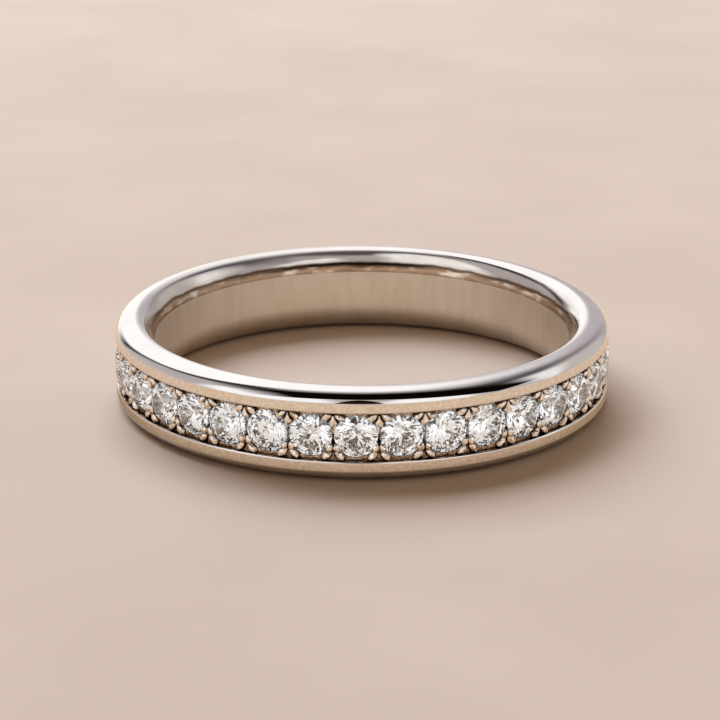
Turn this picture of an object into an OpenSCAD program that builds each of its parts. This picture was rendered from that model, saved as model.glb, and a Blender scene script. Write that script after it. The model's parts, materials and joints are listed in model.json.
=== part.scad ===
// Full eternity ring: a polished band with a channel round its outside,
// holding a row of round brilliant cubic zirconia between raised metal beads.
// Millimetres. The ring lies on its side: +Z is the finger's axis, and z = 0
// is the surface that the lower rim rests on.

/* [Band] */
// Inside diameter, where the finger goes
bore_d = 17.35; // [16.95:0.05:17.75]
// Thickness of the metal, from the bore to the face of the rails
wall = 1.675; // [1.6:0.025:1.8]
// Width of the band along the finger
band_w = 3.7; // [3.65:0.05:3.9]
// Width of the flat outer face of each rail
rail_w = 0.38; // [0.32:0.02:0.4]
// How far each rim's dome rises past its rail's flat face
rim_rise = 0.47; // [0.42:0.01:0.48]
// Distance of each rim's crest from the rails' flat face
crest_in = 0.7; // [0.65:0.05:0.8]

/* [Channel] */
// Depth of the channel below the face of the rails
channel_depth = 0.5; // [0.45:0.05:0.6]
// Clearance between a stone and the metal of its seat
seat_gap = 0.03; // [0.03:0.005:0.04]

/* [Stones] */
// Number of stones in the full circle
stone_count = 36; // [35:1:37]
// Gap between neighbouring stones, at their girdles
stone_gap = 0.07; // [0.07:0.01:0.12]
// How far the stones' tables stand proud of the rails
table_proud = 0.02; // [0:0.01:0.04]
// Table width, as a share of the stone's diameter
table_ratio = 0.57; // [0.54:0.01:0.6]
// Girdle thickness, as a share of the stone's diameter
girdle_ratio = 0.03; // [0.02:0.005:0.04]
// Slope of the crown's main facets, in degrees
crown_angle = 34.5; // [33:0.5:36]
// Slope of the pavilion's main facets, in degrees
pavilion_angle = 40.75; // [40:0.25:42]

/* [Beads] */
// Radius of the main bead, in the gap between two stones
main_bead_r = 0.19; // [0.17:0.01:0.2]
// Radius of the two smaller beads beside it
side_bead_r = 0.12; // [0.1:0.01:0.13]
// Distance of the main bead from the middle of the channel
main_bead_out = 0.49; // [0.47:0.01:0.52]
// Distance of the side beads from the middle of the channel
side_bead_out = 0.84; // [0.81:0.01:0.84]
// Distance of each side bead from the gap between the two stones
side_bead_apart = 0.32; // [0.28:0.01:0.34]

/* [Hidden] */
$fn = 96;

// Radii of the band, and the places that divide its width
bore_r = bore_d / 2;
outer_r = bore_r + wall;
crest_r = outer_r - crest_in;
floor_r = outer_r - channel_depth;
mid_z = band_w / 2;
channel_w = band_w - 2 * (rim_rise + rail_w);

// The bore rounds over to the crest in a quarter circle, as a comfort fit does.
// From the crest, which is level, the rim's dome falls to a crisp edge at the rail
comfort_r = crest_r - bore_r;
dome_r = (pow(crest_in, 2) + pow(rim_rise, 2)) / (2 * rim_rise);

// Angle between neighbouring stones, and the straight way across it at radius 1
pitch = 360 / stone_count;
chord = 2 * sin(pitch / 2);

// Largest stones that leave their gap at the girdle, which lies a crown's height
// under the table
crown_ratio = (1 - table_ratio) / 2 * tan(crown_angle);
stone_d = (chord * (outer_r + table_proud) - stone_gap) / (1 + chord * crown_ratio);
stone_r = stone_d / 2;
table_r = stone_r * table_ratio;
crown_h = stone_d * crown_ratio;
girdle_h = stone_d * girdle_ratio;
pavilion_h = stone_r * tan(pavilion_angle);

// A stone's own frame has z = 0 at the top of its girdle and +Z through its table
girdle_at_r = outer_r + table_proud - crown_h;

// A round brilliant has eight main facets above its girdle and eight below
mains = 8;
main_step = 360 / mains;
half_step = main_step / 2;

// Points where two bezels meet under a star, and where two pavilion mains meet
// between lower halves. Their heights keep every kite flat
star_r = (table_r + stone_r) / 2;
star_z = crown_h - (star_r * cos(half_step) - table_r) * tan(crown_angle);
lower_r = stone_r * 0.24;
lower_z = -girdle_h - (stone_r - lower_r * cos(half_step)) * tan(pavilion_angle);

// Each stone is turned in its seat by a share of the golden angle
golden_angle = 137.5;

// Beads start inside the metal under the channel, and end just under the rails' face
bead_root = 0.15;
main_bead_low = 0.01;
side_bead_low = 0.05;

// How far a cutting shape runs past what it cuts
past = 1;

function two_digits(n) = str(n < 10 ? "0" : "", n);
function stone_name(n) = str("stone_", two_digits(n));

// A point at a radius, an angle and a height
function polar(r, angle, z) = [r * cos(angle), r * sin(angle), z];

// Round brilliant, as rings of points from the table down to the culet
module brilliant() {
    table = [for (k = [0:mains - 1]) polar(table_r, k * main_step, crown_h)];
    stars = [for (k = [0:mains - 1]) polar(star_r, (k + 0.5) * main_step, star_z)];
    girdle_top = [for (k = [0:2 * mains - 1]) polar(stone_r, k * half_step, 0)];
    girdle_low = [for (p = girdle_top) [p.x, p.y, -girdle_h]];
    lowers = [for (k = [0:mains - 1]) polar(lower_r, (k + 0.5) * main_step, lower_z)];
    culet = [[0, 0, -girdle_h - pavilion_h]];

    // Where each ring starts in the list of points
    at_star = mains;
    at_top = 2 * mains;
    at_low = 4 * mains;
    at_lower = 6 * mains;
    at_culet = 7 * mains;
    around = 2 * mains;
    last = mains - 1;

    polyhedron(
        points = concat(table, stars, girdle_top, girdle_low, lowers, culet),
        faces = concat(
            [[for (k = [last:-1:0]) k]],
            // Stars, each between the table and two bezels
            [for (k = [0:last]) [k, (k + 1) % mains, at_star + k]],
            // Bezels, the kites that reach from the table to the girdle
            [for (k = [0:last])
                [k, at_star + k, at_top + 2 * k, at_star + (k + last) % mains]],
            // Upper halves, one on each side of every bezel
            [for (k = [0:last]) [at_star + k, at_top + 2 * k + 1, at_top + 2 * k]],
            [for (k = [0:last])
                [at_star + k, at_top + (2 * k + 2) % around, at_top + 2 * k + 1]],
            // Girdle
            [for (k = [0:around - 1])
                [at_top + k, at_top + (k + 1) % around,
                    at_low + (k + 1) % around, at_low + k]],
            // Lower halves, one on each side of every pavilion main
            [for (k = [0:last]) [at_low + 2 * k, at_low + 2 * k + 1, at_lower + k]],
            [for (k = [0:last])
                [at_low + 2 * k + 1, at_low + (2 * k + 2) % around, at_lower + k]],
            // Pavilion mains, the kites that meet at the culet
            [for (k = [0:last])
                [at_low + 2 * k, at_lower + k, at_culet, at_lower + (k + last) % mains]]
        )
    );
}

// Puts a shape that is in a stone's own frame at the place of stone n
module at_stone(n) {
    rotate([0, 0, (n - 1) * pitch - 90])
        translate([girdle_at_r, 0, mid_z])
            rotate([0, 90, 0])
                children();
}

module stone(n) {
    color("white", 0.6)
        at_stone(n)
            rotate([0, 0, (n * golden_angle) % main_step])
                brilliant();
}

// Seat of one stone: the stone's turned outline, grown by the clearance
module seat() {
    grown_r = stone_r + seat_gap;
    rotate_extrude()
        polygon([
            [0, -girdle_h - pavilion_h - 2 * seat_gap],
            [grown_r, -girdle_h - seat_gap],
            [grown_r, seat_gap],
            [table_r + seat_gap, crown_h + seat_gap],
            [0, crown_h + seat_gap]
        ]);
}

// One rim's section, with its crest at y = 0: the round-over on the bore's side
// of the crest, and the dome on the rail's side
module rim_section() {
    intersection() {
        translate([crest_r, -comfort_r])
            circle(r = comfort_r);
        translate([bore_r, -comfort_r])
            square(comfort_r);
    }
    intersection() {
        translate([crest_r, -dome_r])
            circle(r = dome_r);
        translate([crest_r, -dome_r])
            square([crest_in, dome_r]);
    }
}

// Section of the band, with radius along x and height along y
module band_section() {
    difference() {
        union() {
            translate([0, band_w])
                rim_section();
            mirror([0, 1])
                rim_section();
            translate([bore_r, comfort_r])
                square([wall, band_w - 2 * comfort_r]);
            translate([crest_r, dome_r])
                square([crest_in, band_w - 2 * dome_r]);
        }
        translate([floor_r, mid_z - channel_w / 2])
            square([channel_depth + past, channel_w]);
    }
}

// A bead with a round head, whose top lies a given depth under the rails' face
module bead(r, low) {
    stem = bead_root + channel_depth - low - r;
    translate([0, 0, floor_r - bead_root])
        rotate_extrude($fn = 48) {
            square([r, stem]);
            translate([0, stem])
                intersection() {
                    circle(r = r);
                    square(r);
                }
        }
}

// The three beads on one side of the gap between two stones
module bead_group(side) {
    translate([side * main_bead_out, 0, 0])
        bead(main_bead_r, main_bead_low);
    for (along = [-side_bead_apart, side_bead_apart])
        translate([side * side_bead_out, along, 0])
            bead(side_bead_r, side_bead_low);
}

module all_beads() {
    for (n = [1:stone_count])
        rotate([0, 0, (n - 0.5) * pitch - 90])
            translate([0, 0, mid_z])
                rotate([0, 90, 0])
                    for (side = [-1, 1])
                        bead_group(side);
}

module band() {
    color("gainsboro")
        difference() {
            union() {
                rotate_extrude()
                    band_section();
                all_beads();
            }
            for (n = [1:stone_count])
                at_stone(n)
                    seat();
        }
}

band();
for (n = [1:stone_count])
    stone(n);
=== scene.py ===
# %% [markdown]
# # A full eternity ring with a row of cut stones
#
# The ring lies on its side. Its construction, a band with 36 seats and 36 cut stones, comes
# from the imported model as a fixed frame. This lesson gives it its looks: a smoothly turned
# band of rhodium plated silver with hand-raised beads, the finish of every surface, the light
# that the polish mirrors, and the camera.

# %% Load the frame
import json
import math

import bpy
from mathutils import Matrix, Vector


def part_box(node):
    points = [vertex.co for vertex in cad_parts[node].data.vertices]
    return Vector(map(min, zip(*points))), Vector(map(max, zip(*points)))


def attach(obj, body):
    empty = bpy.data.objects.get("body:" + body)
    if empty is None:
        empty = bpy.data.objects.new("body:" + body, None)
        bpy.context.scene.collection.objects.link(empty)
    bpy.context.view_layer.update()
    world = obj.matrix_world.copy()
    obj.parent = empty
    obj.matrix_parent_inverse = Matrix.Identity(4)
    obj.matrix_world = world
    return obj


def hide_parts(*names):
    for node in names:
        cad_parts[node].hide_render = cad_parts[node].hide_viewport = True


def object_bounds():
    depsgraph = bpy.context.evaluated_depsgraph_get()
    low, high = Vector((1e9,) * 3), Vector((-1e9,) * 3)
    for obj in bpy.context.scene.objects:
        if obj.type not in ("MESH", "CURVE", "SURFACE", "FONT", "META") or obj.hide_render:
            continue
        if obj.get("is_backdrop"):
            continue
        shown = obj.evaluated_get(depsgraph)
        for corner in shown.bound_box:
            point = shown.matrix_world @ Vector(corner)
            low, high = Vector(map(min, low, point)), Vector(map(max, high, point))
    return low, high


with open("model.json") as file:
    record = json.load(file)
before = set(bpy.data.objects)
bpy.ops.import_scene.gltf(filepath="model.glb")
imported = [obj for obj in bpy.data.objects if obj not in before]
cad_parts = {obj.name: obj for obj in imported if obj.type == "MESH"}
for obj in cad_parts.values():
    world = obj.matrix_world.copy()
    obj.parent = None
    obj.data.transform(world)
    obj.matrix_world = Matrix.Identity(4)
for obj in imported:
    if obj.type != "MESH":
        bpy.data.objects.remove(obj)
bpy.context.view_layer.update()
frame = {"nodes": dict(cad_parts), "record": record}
nodes = frame["nodes"]
MM = 0.001

# %% [markdown]
# Every size below follows from the frame. The band's box gives its outside and its width, the
# bore's radius is in the record's mount, and the nearest stone, which faces -Y, gives the
# stones' radius and how deep they sit.

# %% Sizes from the frame
band_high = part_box("band")[1]
stone_low, stone_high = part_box("stone_01")
bore_r = frame["record"]["mounts"][0]["dims"]["r_mm"] * MM
outer_r = band_high.x
band_w = band_high.z
mid_z = band_w / 2
stone_count = len(nodes) - 1
pitch = math.radians(360 / stone_count)
stone_r = (stone_high.x - stone_low.x) / 2
table_at_r = -stone_low.y
culet_at_r = -stone_high.y
print("bore", round(bore_r / MM, 3), "outside", round(outer_r / MM, 3), "width", round(band_w / MM, 3))
print(stone_count, "stones of", round(2 * stone_r / MM, 3), "mm, culets at", round(culet_at_r / MM, 3))

# %% [markdown]
# The camera stands where the photograph was taken: ten outer radii away, 18.85 degrees above
# the surface, and turned a touch to the right, so that the nearest stone sits left of the
# middle. A small lens shift puts the ring where the photograph has it.

# %% Camera
# The focal length and the ring's axis are measured in the photograph's pixels
PHOTO_SIZE = 720
FOCAL_PX = 2446.8
SENSOR_MM = 36
AXIS_PX = (362.1, 356.2)
camera_distance = 10 * outer_r
camera_elevation = math.radians(18.85)
camera_azimuth = math.radians(1.3)
camera_target = Vector((0, 0, 0.16 * outer_r))

away = Vector((
    math.sin(camera_azimuth) * math.cos(camera_elevation),
    -math.cos(camera_azimuth) * math.cos(camera_elevation),
    math.sin(camera_elevation),
))
bpy.ops.object.camera_add(location=camera_target + away * camera_distance)
camera = bpy.context.object
camera.name = "camera"
camera.rotation_euler = (-away).to_track_quat("-Z", "Y").to_euler()
camera.data.sensor_width = SENSOR_MM
camera.data.lens = FOCAL_PX * SENSOR_MM / PHOTO_SIZE
camera.data.shift_x = -(AXIS_PX[0] - PHOTO_SIZE / 2) / PHOTO_SIZE
camera.data.shift_y = (AXIS_PX[1] - PHOTO_SIZE / 2) / PHOTO_SIZE
camera.data.clip_start = 0.005
camera.data.clip_end = 10
bpy.context.scene.camera = camera
lens_mm = round(camera.data.lens, 1)
print("camera", [round(x / MM, 1) for x in camera.location], "mm, lens", lens_mm, "mm")

# %% [markdown]
# The band is a turned shape, so only half of its section is drawn: from the middle of the
# bore, round the comfort-fit shoulder to the crest, down the rim's dome to a crisp edge, and
# over the rail into the channel. The shoulder isn't one arc: it leaves the bore in a long soft
# sweep, and is tightest near the crest, as a polisher's felt leaves it. The setter's graver
# leaves a bright cut along the rail's inner edge, and a ledge just under the stones' girdles.
# A lathe could be copied with a Screw modifier, but drawing the section as a chain of points
# and spinning it shows each step. Its sizes come first.

# %% Sizes of the section
rim_rise = 0.47 * MM
rail_w = 0.38 * MM
channel_depth = 0.50 * MM
# Extra points this far from the rail's two edges keep its face flat up to them
support = 0.05 * MM
bright_cut = 0.035 * MM
# The ledge's depth under the rail, the height of the dark groove over it, how far it falls
# towards the middle of the channel, and where it ends
ledge_depth = 0.24 * MM
groove_h = 0.11 * MM
ledge_fall = 0.06 * MM
ledge_from_middle = 0.40 * MM
floor_r = outer_r - channel_depth
half_channel = mid_z - rim_rise - rail_w
arris_z = band_w - rim_rise
rail_end_z = arris_z - rail_w
edge_z = rail_end_z + bright_cut / 2
print("rail", round((arris_z - edge_z) / MM, 3), "mm wide, half the channel", round(half_channel / MM, 3))

# %% [markdown]
# The rim is drawn as arcs that meet at the same tilt, so that no kink shows in the polish.
# The shoulder's three arcs decide where the crest is. The dome's two arcs then have to cover
# the rest of the width and the whole rise, which is two equations for their radii.

# %% Arcs of the rim
# The shoulder's arcs, from the bore to the crest: the tilt they start and end at, and a radius
SHOULDER = ((90, 64, 1.62 * MM), (64, 44, 1.40 * MM), (44, 0, 0.60 * MM))
# The dome's two arcs end at these tilts, past the crest
DOME_TILTS = (30, 66)


def sine(degrees):
    return math.sin(math.radians(degrees))


def cosine(degrees):
    return math.cos(math.radians(degrees))


crest_r = bore_r + sum(radius * (sine(low) - sine(high)) for low, high, radius in SHOULDER)
crest_in = outer_r - crest_r

first, last = DOME_TILTS
wide_1, wide_2 = sine(first), sine(last) - sine(first)
rise_1, rise_2 = 1 - cosine(first), cosine(first) - cosine(last)
divisor = wide_1 * rise_2 - wide_2 * rise_1
dome_r1 = (crest_in * rise_2 - wide_2 * rim_rise) / divisor
dome_r2 = (wide_1 * rim_rise - crest_in * rise_1) / divisor
print("crest", round(crest_in / MM, 3), "mm in, dome", round(dome_r1 / MM, 3), round(dome_r2 / MM, 3))

# %% [markdown]
# The arcs' points and the corners of the rail, the ledge and the floor are put in a row, from
# the middle of the bore to the middle of the channel's floor.

# %% Points of the section
# Degrees of tilt between two points of an arc
ARC_STEP = 3.6


def sweep(points, start, end, radius, outward):
    """Adds an arc from one tilt to another, on the bore's side of the crest or outward of it."""
    steps = max(2, round(abs(end - start) / ARC_STEP))
    from_r, from_z = points[-1]
    for k in range(1, steps + 1):
        tilt = start + (end - start) * k / steps
        step_r = radius * abs(sine(tilt) - sine(start))
        step_z = radius * abs(cosine(tilt) - cosine(start))
        points.append((from_r + step_r, from_z - step_z if outward else from_z + step_z))


shoulder_h = sum(radius * (cosine(high) - cosine(low)) for low, high, radius in SHOULDER)
section = [(bore_r, mid_z), (bore_r, band_w - shoulder_h)]
for start, end, radius in SHOULDER:
    sweep(section, start, end, radius, outward=False)
sweep(section, 0, first, dome_r1, outward=True)
sweep(section, first, last, dome_r2, outward=True)
arris_r = section[-1][0]
section += [
    (outer_r, arris_z - support),
    (outer_r, edge_z + support),
    (outer_r, edge_z),
    (outer_r - bright_cut, edge_z - bright_cut),
    (outer_r - ledge_depth + groove_h, edge_z - bright_cut),
    (outer_r - ledge_depth, edge_z - bright_cut),
    (outer_r - ledge_depth - ledge_fall, mid_z + ledge_from_middle),
    (floor_r, mid_z + ledge_from_middle - ledge_fall),
    (floor_r, mid_z),
]
print(len(section), "points in half the section, the arris at", round(arris_r / MM, 3))

# %% [markdown]
# An operator acts on all that is selected, and the frame's nodes are selected when they
# arrive, so each new piece starts from nothing selected. Two more helpers apply a modifier,
# and write a piece's place, turn and scale into its mesh.


# %% Helpers for modelling
def start_clean():
    if bpy.context.object and bpy.context.object.mode != "OBJECT":
        bpy.ops.object.mode_set(mode="OBJECT")
    bpy.ops.object.select_all(action="DESELECT")


def make_active(piece):
    start_clean()
    bpy.context.view_layer.objects.active = piece
    piece.select_set(True)


def apply_modifier(piece, kind, **settings):
    make_active(piece)
    modifier = piece.modifiers.new(kind.lower(), kind)
    for key, value in settings.items():
        setattr(modifier, key, value)
    bpy.ops.object.modifier_apply(modifier=modifier.name)


def apply_place(piece):
    make_active(piece)
    bpy.ops.object.transform_apply(location=True, rotation=True, scale=True)


# %% [markdown]
# One plane merged to a point starts the chain, and each extrusion draws one stretch of the
# section. The chain is spun round the finger's axis, and mirrored about the band's middle.

# %% Turn the band
SPIN_STEPS = 240
WELD = 0.0002 * MM

start_clean()
bpy.ops.mesh.primitive_plane_add(size=MM, location=(0, 0, mid_z))
band = bpy.context.object
band.name = "band_metal"
bpy.ops.object.mode_set(mode="EDIT")
bpy.ops.mesh.select_all(action="SELECT")
bpy.ops.mesh.merge(type="CENTER")
bpy.ops.transform.translate(value=(section[0][0], 0, section[0][1] - mid_z))
for (r0, z0), (r1, z1) in zip(section, section[1:]):
    bpy.ops.mesh.extrude_region_move(TRANSFORM_OT_translate={"value": (r1 - r0, 0, z1 - z0)})
bpy.ops.mesh.select_all(action="SELECT")
bpy.ops.mesh.spin(steps=SPIN_STEPS, angle=2 * math.pi, center=(0, 0, 0), axis=(0, 0, 1))
bpy.ops.mesh.select_all(action="SELECT")
bpy.ops.mesh.remove_doubles(threshold=WELD)
bpy.ops.object.mode_set(mode="OBJECT")
apply_modifier(band, "MIRROR", use_axis=(False, False, True), merge_threshold=WELD)
apply_place(band)
print("turned band:", len(band.data.polygons), "faces")

# %% [markdown]
# The edge between the dome and the rail is crisp but not a razor: a polisher's wheel always
# takes a hair off it. The edge between the rail and the bright cut is a little softer, and
# catches the fine line of light that runs along the row of stones. A Bevel modifier would
# round every edge alike, so the edges are picked by their place and bevelled in edit mode.
# Then every normal is made to point outwards.

# %% Ease the edges
ARRIS_BEVEL = 0.012 * MM
RAIL_BEVEL = 0.032 * MM
NEAR = 5 * WELD


def select_in_edit(piece, kind, chosen):
    """Enters edit mode with only the vertices, edges or faces selected that chosen(item) accepts."""
    make_active(piece)
    bpy.ops.object.mode_set(mode="EDIT")
    bpy.ops.mesh.select_mode(type=kind)
    bpy.ops.mesh.select_all(action="DESELECT")
    bpy.ops.object.mode_set(mode="OBJECT")
    mesh = piece.data
    for item in {"VERT": mesh.vertices, "EDGE": mesh.edges, "FACE": mesh.polygons}[kind]:
        item.select = bool(chosen(item))
    bpy.ops.object.mode_set(mode="EDIT")


def ring_edges(piece, radius, heights):
    """Selects the edges that run round the band at a radius and one of some heights."""
    points = piece.data.vertices

    def on_ring(point):
        near_r = abs(math.hypot(point.co.x, point.co.y) - radius) < NEAR
        return near_r and any(abs(point.co.z - z) < NEAR for z in heights)

    select_in_edit(piece, "EDGE", lambda edge: all(on_ring(points[k]) for k in edge.vertices))


ring_edges(band, outer_r, (arris_z, band_w - arris_z))
bpy.ops.mesh.bevel(offset=ARRIS_BEVEL, segments=2, affect="EDGES")
ring_edges(band, outer_r, (edge_z, band_w - edge_z))
bpy.ops.mesh.bevel(offset=RAIL_BEVEL, segments=4, affect="EDGES")
bpy.ops.mesh.select_all(action="SELECT")
bpy.ops.mesh.normals_make_consistent(inside=False)
bpy.ops.object.mode_set(mode="OBJECT")
print("eased band:", len(band.data.polygons), "faces")

# %% [markdown]
# The setter raises each bead from the metal of the channel with a graver, and pushes it over
# the stone's edge. Along the upper rail the photograph shows one tooth between every two
# stones, its round end down, with a leaf leaning on each side of it like the two slopes of a
# roof. Along the lower rail two round lobes stand over two longer leaves. Each form could be
# sculpted, but a small ball that is stretched, turned and pulled gives them all. It starts at
# the side of the ring, where +X is outwards, and is shaped there.


# %% Shape a bead
def raised_ball(name, radius, segments, rings, low, across, along):
    """A ball with its top so low under the rails, so far across the band and along the row."""
    start_clean()
    bpy.ops.mesh.primitive_uv_sphere_add(
        segments=segments,
        ring_count=rings,
        radius=radius,
        location=(outer_r - low - radius, along, mid_z + across),
    )
    ball = bpy.context.object
    ball.name = name
    return ball


def stretch(ball, along, across, turn=0.0):
    """Scales a ball along the row and across the band, then turns it about the outward way."""
    ball.scale = (1, along, across)
    ball.rotation_euler = (turn, 0, 0)
    apply_place(ball)


def pull(ball, chosen, move, squeeze, centre):
    """Moves and narrows the part of a ball whose vertices are chosen."""
    select_in_edit(ball, "VERT", chosen)
    bpy.ops.transform.translate(value=move)
    bpy.ops.transform.resize(value=squeeze, center_override=centre)
    bpy.ops.object.mode_set(mode="OBJECT")


# %% [markdown]
# A raised bead stays part of the band, so each ball's inner half is pulled down into the
# metal. Spin with its duplicate option then copies it to all gaps, evenly spaced.

# %% Root a bead and copy it round
BEAD_ROOT = 0.25 * MM


def copy_round(piece):
    """Copies a shape to the places of all the other stones or gaps, and stays in edit mode."""
    make_active(piece)
    bpy.ops.object.mode_set(mode="EDIT")
    bpy.ops.mesh.select_all(action="SELECT")
    others = stone_count - 1
    bpy.ops.mesh.spin(steps=others, dupli=True, angle=pitch * others, center=(0, 0, 0), axis=(0, 0, 1))


def root_and_copy(ball, radius, low):
    """Pulls a ball's inner half down into the metal, turns it to its gap and copies it."""
    middle_r = outer_r - low - radius
    select_in_edit(ball, "VERT", lambda point: point.co.x < middle_r - WELD)
    bpy.ops.transform.translate(value=(-BEAD_ROOT, 0, 0))
    bpy.ops.object.mode_set(mode="OBJECT")
    ball.rotation_euler = (0, 0, pitch / 2)
    apply_place(ball)
    copy_round(ball)
    bpy.ops.object.mode_set(mode="OBJECT")
    return ball


# %% [markdown]
# The tooth's round end lies between two stones. Its other end is narrowed and drawn out to
# the rail, where the graver lifted it.

# %% The tooth
tooth_r = 0.19 * MM
tooth_low = 0.02 * MM
tooth_at = 0.58 * MM
tooth = raised_ball("tooth", tooth_r, segments=16, rings=12, low=tooth_low, across=tooth_at, along=0)
stretch(tooth, along=0.95, across=1.0)
pull(
    tooth,
    lambda point: point.co.z > mid_z + tooth_at + 0.2 * tooth_r,
    move=(-0.02 * MM, 0, 0.15 * MM),
    squeeze=(0.95, 0.45, 1),
    centre=(outer_r - tooth_low - tooth_r, 0, mid_z + tooth_at),
)
beads = [root_and_copy(tooth, tooth_r, tooth_low)]
print("teeth:", len(tooth.data.polygons), "faces")

# %% [markdown]
# Lobes and leaves come in pairs, one on each side of the gap, and the two of a pair lean
# opposite ways.

# %% Lobes and leaves
# Name; radius, how low its top is, across the band and along the row, in millimetres; then the
# stretch along the row, the one across the band, and the turn
FORMS = (
    ("upper_leaf", 0.16, 0.03, 0.79, 0.26, 0.90, 1.50, 0.90),
    ("lobe", 0.165, 0.02, -0.47, 0.145, 0.95, 1.15, 0.25),
    ("lower_leaf", 0.20, 0.05, -0.80, 0.25, 0.85, 1.40, 0.75),
)
for name, radius, low, across, along, stretch_along, stretch_across, turn in FORMS:
    for side in (-1, 1):
        bead = raised_ball(
            name,
            radius * MM,
            segments=12,
            rings=8,
            low=low * MM,
            across=across * MM,
            along=side * along * MM,
        )
        stretch(bead, stretch_along, stretch_across, side * turn)
        beads.append(root_and_copy(bead, radius * MM, low * MM))
print("bead shapes:", len(beads), "each copied to", stone_count, "gaps")

# %% [markdown]
# No two hand-raised beads are alike. A Displace modifier with a cloud pattern about as wide
# as a bead pushes their surfaces in and out by a few hundredths of a millimetre, before they
# grow into the band with Boolean unions.

# %% Grow the beads into the band
GRAVER_MARK_W = 0.22 * MM
GRAVER_MARK_H = 0.06 * MM
clouds = bpy.data.textures.new("graver_marks", "CLOUDS")
clouds.noise_scale = GRAVER_MARK_W
marks = {"texture": clouds, "texture_coords": "GLOBAL", "strength": GRAVER_MARK_H, "mid_level": 0.5}
for bead in beads:
    apply_modifier(bead, "DISPLACE", **marks)
    apply_modifier(band, "BOOLEAN", operation="UNION", solver="MANIFOLD", object=bead)
    bpy.data.objects.remove(bead)
print("band with beads:", len(band.data.polygons), "faces")

# %% [markdown]
# Each stone sits in a seat that a burr has cut: a cone under the girdle, and a short cone over
# it where the burr also trims the beads. The cutter starts as a cylinder as thick as the
# girdle. Its lower face is extruded down to a point and its upper face up to the table, then
# it is laid on its side, moved out to the first stone, copied round and cut from the band.

# %% Cut the seats
seat_gap = 0.03 * MM
table_share = 0.57
CROWN_ANGLE = 34.5
PAVILION_ANGLE = 40.75
crown_slope = math.tan(math.radians(CROWN_ANGLE))
pavilion_slope = math.tan(math.radians(PAVILION_ANGLE))
table_r = table_share * stone_r
crown_h = (stone_r - table_r) * crown_slope
girdle_at_r = table_at_r - crown_h
pavilion_h = stone_r * pavilion_slope
girdle_h = girdle_at_r - pavilion_h - culet_at_r
seat_r = stone_r + seat_gap
seat_h = girdle_h + 2 * seat_gap

start_clean()
bpy.ops.mesh.primitive_cylinder_add(vertices=48, radius=seat_r, depth=seat_h)
seat = bpy.context.object
seat.name = "seat_cutter"
select_in_edit(seat, "FACE", lambda face: face.normal.z < -0.9)
bpy.ops.mesh.extrude_region_move(TRANSFORM_OT_translate={"value": (0, 0, -pavilion_h)})
bpy.ops.mesh.merge(type="CENTER")
select_in_edit(seat, "FACE", lambda face: face.normal.z > 0.9)
bpy.ops.mesh.extrude_region_move(TRANSFORM_OT_translate={"value": (0, 0, crown_h)})
shrink = (table_r + seat_gap) / seat_r
bpy.ops.transform.resize(value=(shrink, shrink, 1))
bpy.ops.object.mode_set(mode="OBJECT")
seat.rotation_euler = (0, math.pi / 2, 0)
seat.location = (girdle_at_r - girdle_h / 2, 0, mid_z)
apply_place(seat)
copy_round(seat)
bpy.ops.mesh.select_all(action="SELECT")
bpy.ops.mesh.normals_make_consistent(inside=False)
bpy.ops.object.mode_set(mode="OBJECT")
apply_modifier(band, "BOOLEAN", operation="DIFFERENCE", solver="MANIFOLD", object=seat)
bpy.data.objects.remove(seat)
print("girdle", round(girdle_h / MM, 3), "mm thick; band with seats:", len(band.data.polygons), "faces")

# %% [markdown]
# The turned rims have to flow as one mirror, while the seats' rims and the beads' creases
# stay crisp. Shade Smooth by Angle does both: it only smooths over edges that turn less
# than its angle.

# %% Smooth the band
CREASE_ANGLE = 32
make_active(band)
bpy.ops.object.shade_smooth_by_angle(angle=math.radians(CREASE_ANGLE))
triangles = sum(len(face.vertices) - 2 for face in band.data.polygons)
print("band:", triangles, "triangles")

# %% [markdown]
# Colours are written as sRGB hex, the way a colour picker shows them, and one function turns
# them into the linear values that the renderer works with.


# %% Colours
def colour(code):
    """Linear colour of an sRGB hex code."""
    parts = [int(code[k : k + 2], 16) / 255 for k in (0, 2, 4)]
    return tuple(p / 12.92 if p <= 0.04045 else ((p + 0.055) / 1.055) ** 2.4 for p in parts) + (1.0,)


print("a middle grey, 808080, is", round(colour("808080")[0], 3), "in linear values")

# %% [markdown]
# One function adds a node of any kind, sets its values and links its inputs, and another
# starts a material. Every pattern reads the piece's own Object coordinates, so that it stays
# on the piece when that moves.


# %% Nodes
def add_node(tree, kind, inputs=None, stops=(), **settings):
    """Adds a node, sets its properties and a ramp's stops, and fills or links its inputs."""
    node = tree.nodes.new(kind)
    for key, value in settings.items():
        setattr(node, key, value)
    for key, value in (inputs or {}).items():
        if isinstance(value, bpy.types.Node):
            value = value.outputs[0]
        if isinstance(value, bpy.types.NodeSocket):
            tree.links.new(value, node.inputs[key])
        else:
            node.inputs[key].default_value = value
    for _ in stops[2:]:
        node.color_ramp.elements.new(0.5)
    if stops:
        for stop, (at, code) in zip(node.color_ramp.elements, stops):
            stop.position = at
            stop.color = colour(code)
    return node


def new_material(name):
    """A material with an empty tree, and the Object coordinates for its patterns."""
    material = bpy.data.materials.new(name)
    material.use_nodes = True
    tree = material.node_tree
    tree.nodes.clear()
    place = add_node(tree, "ShaderNodeTexCoord").outputs["Object"]
    return material, tree, place


# %% [markdown]
# The band is silver under a rhodium plate, polished on felt wheels. Rhodium is a whiter,
# slightly darker mirror than silver, with a trace of warmth. A polished surface is never
# perfectly even: fine lines from the wheel run round the band, and the gloss varies a little
# from place to place. An anisotropic shader could stand for the lines, but drawn lines also
# break up what the metal mirrors. Their pattern is stretched along the angle round the ring,
# and is coarser than a wheel's real lines, so that it shows in the render.

# %% Lines of a felt wheel
WHEEL_LINE_MM = 0.05
# Along a line the pattern changes so often in each radian
LINES_PER_RADIAN = 2.0


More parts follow.
